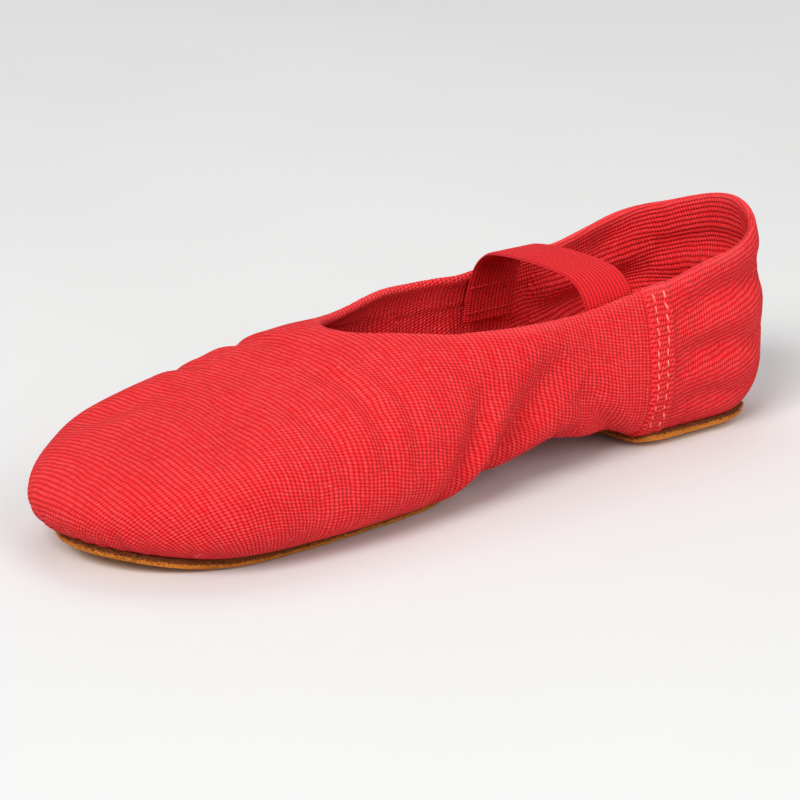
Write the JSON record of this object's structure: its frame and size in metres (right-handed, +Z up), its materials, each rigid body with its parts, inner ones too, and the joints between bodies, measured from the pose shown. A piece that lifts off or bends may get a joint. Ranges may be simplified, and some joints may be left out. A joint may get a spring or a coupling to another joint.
{
  "type": "ballet shoe",
  "caption": "Soft canvas ballet shoe with a low open collar, separate suede pads under forefoot and heel, a canvas arch and an elastic band over the instep.",
  "frame": {"origin": "on the floor under the pads, at the middle of the shoe's length and width", "axes": "+X to the toe, +Y to the shoe's left side, +Z up"},
  "size_m": [0.2, 0.07, 0.047],
  "materials": {
    "red_canvas": "coarse ribbed cotton canvas, matte",
    "orange_suede": "napped split leather, matte, with darker cut edges",
    "insole_cloth": "plain cotton lining",
    "red_elastic": "ribbed woven elastic"
  },
  "bodies": {
    "root": {"upper": "red_canvas", "forefoot_pad": "orange_suede", "heel_pad": "orange_suede", "forefoot_insole": "insole_cloth", "heel_insole": "insole_cloth", "instep_elastic": "red_elastic"}
  },
  "joints": []
}
